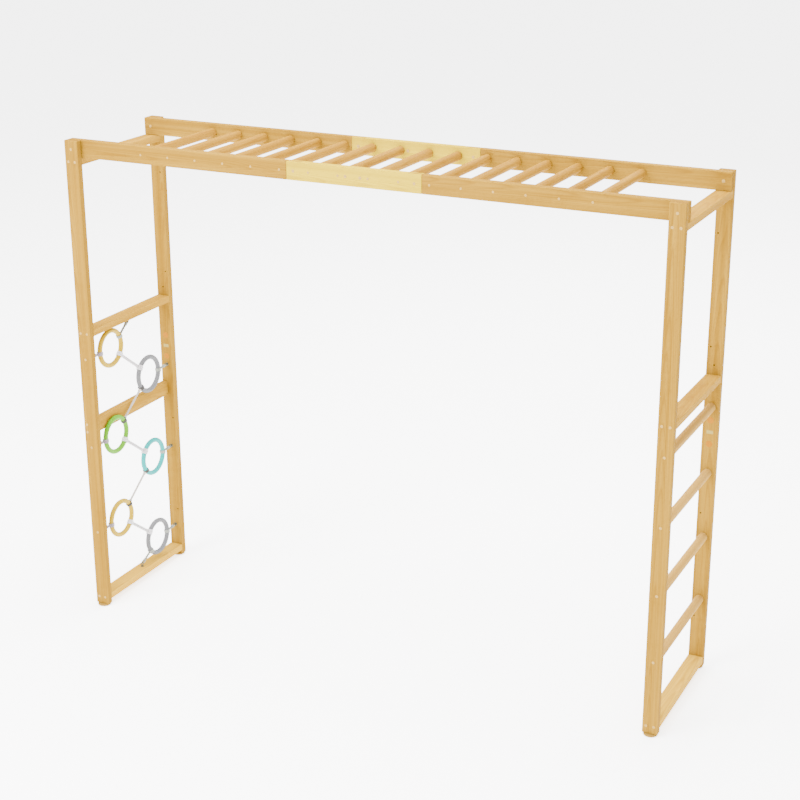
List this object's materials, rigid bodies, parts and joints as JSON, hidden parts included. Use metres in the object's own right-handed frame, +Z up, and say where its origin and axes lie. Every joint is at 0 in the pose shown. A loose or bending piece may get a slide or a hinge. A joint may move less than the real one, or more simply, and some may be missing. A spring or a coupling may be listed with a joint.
{
  "type": "monkey bars",
  "caption": "Freestanding wooden monkey bars: two end frames and two overhead rails with round rungs, a rope net with rings on one end and a ladder on the other.",
  "frame": {"origin": "on the ground, under the middle of the whole object", "axes": "+X to the ladder frame, +Y to the back, +Z up"},
  "size_m": [2.5, 0.627, 2],
  "materials": {
    "wood": "clear satin varnish, straight grain",
    "pale_wood": "pale yellow satin stain over straight grain",
    "rung_wood": "clear satin varnish on turned bars",
    "yellow_plastic": "pastel yellow, soft sheen",
    "grey_plastic": "mid grey, soft sheen",
    "green_plastic": "pastel green, soft sheen",
    "turquoise_plastic": "turquoise, soft sheen",
    "rope": "off-white twisted cord with zinc-plated screw eyes"
  },
  "bodies": {
    "frame": {"left_front_post": "wood", "left_front_foot": "wood", "left_back_post": "wood", "left_back_foot": "wood", "left_bottom_beam": "wood", "left_upper_beam": "wood", "left_top_beam": "wood", "right_front_post": "wood", "right_front_foot": "wood", "right_back_post": "wood", "right_back_foot": "wood", "right_bottom_beam": "wood", "right_upper_beam": "wood", "right_top_beam": "wood", "left_edge_beam": "wood", "front_rail_left": "wood", "front_rail_right": "wood", "back_rail_left": "wood", "back_rail_right": "wood", "front_rail_middle": "pale_wood", "back_rail_middle": "pale_wood", "overhead_rung_01": "rung_wood", "overhead_rung_02": "rung_wood", "overhead_rung_03": "rung_wood", "overhead_rung_04": "rung_wood", "overhead_rung_05": "rung_wood", "overhead_rung_06": "rung_wood", "overhead_rung_07": "rung_wood", "overhead_rung_08": "rung_wood", "overhead_rung_09": "rung_wood", "overhead_rung_10": "rung_wood", "overhead_rung_11": "rung_wood", "overhead_rung_12": "rung_wood", "overhead_rung_13": "rung_wood", "overhead_rung_14": "rung_wood", "overhead_rung_15": "rung_wood", "overhead_rung_16": "rung_wood", "ladder_rung_1": "rung_wood", "ladder_rung_2": "rung_wood", "ladder_rung_3": "rung_wood", "ladder_rung_4": "rung_wood", "top_tie": "rope", "bottom_tie": "rope", "side_tie_1": "rope", "side_tie_2": "rope", "side_tie_3": "rope", "side_tie_4": "rope", "side_tie_5": "rope", "side_tie_6": "rope", "link_1": "rope", "link_2": "rope", "link_3": "rope", "link_4": "rope", "link_5": "rope"},
    "ring_1": {"ring_1_yellow": "yellow_plastic"},
    "ring_2": {"ring_2_grey": "grey_plastic"},
    "ring_3": {"ring_3_green": "green_plastic"},
    "ring_4": {"ring_4_turquoise": "turquoise_plastic"},
    "ring_5": {"ring_5_yellow": "yellow_plastic"},
    "ring_6": {"ring_6_grey": "grey_plastic"}
  },
  "joints": [
    {"name": "ring_1_tilt", "type": "hinge", "parent": "frame", "child": "ring_1", "pos_m": [-1.2115, -0.14, 1.11442], "axis": [0, 1, 0], "range_deg": [-20, 20]},
    {"name": "ring_2_tilt", "type": "hinge", "parent": "frame", "child": "ring_2", "pos_m": [-1.2115, 0.116, 0.92325], "axis": [0, 1, 0], "range_deg": [-20, 20]},
    {"name": "ring_3_tilt", "type": "hinge", "parent": "frame", "child": "ring_3", "pos_m": [-1.2115, -0.14, 0.73208], "axis": [0, 1, 0], "range_deg": [0, 20]},
    {"name": "ring_4_tilt", "type": "hinge", "parent": "frame", "child": "ring_4", "pos_m": [-1.2115, 0.116, 0.54092], "axis": [0, 1, 0], "range_deg": [-20, 20]},
    {"name": "ring_5_tilt", "type": "hinge", "parent": "frame", "child": "ring_5", "pos_m": [-1.2115, -0.14, 0.34975], "axis": [0, 1, 0], "range_deg": [-20, 20]},
    {"name": "ring_6_tilt", "type": "hinge", "parent": "frame", "child": "ring_6", "pos_m": [-1.2115, 0.116, 0.15858], "axis": [0, 1, 0], "range_deg": [-20, 20]}
  ]
}
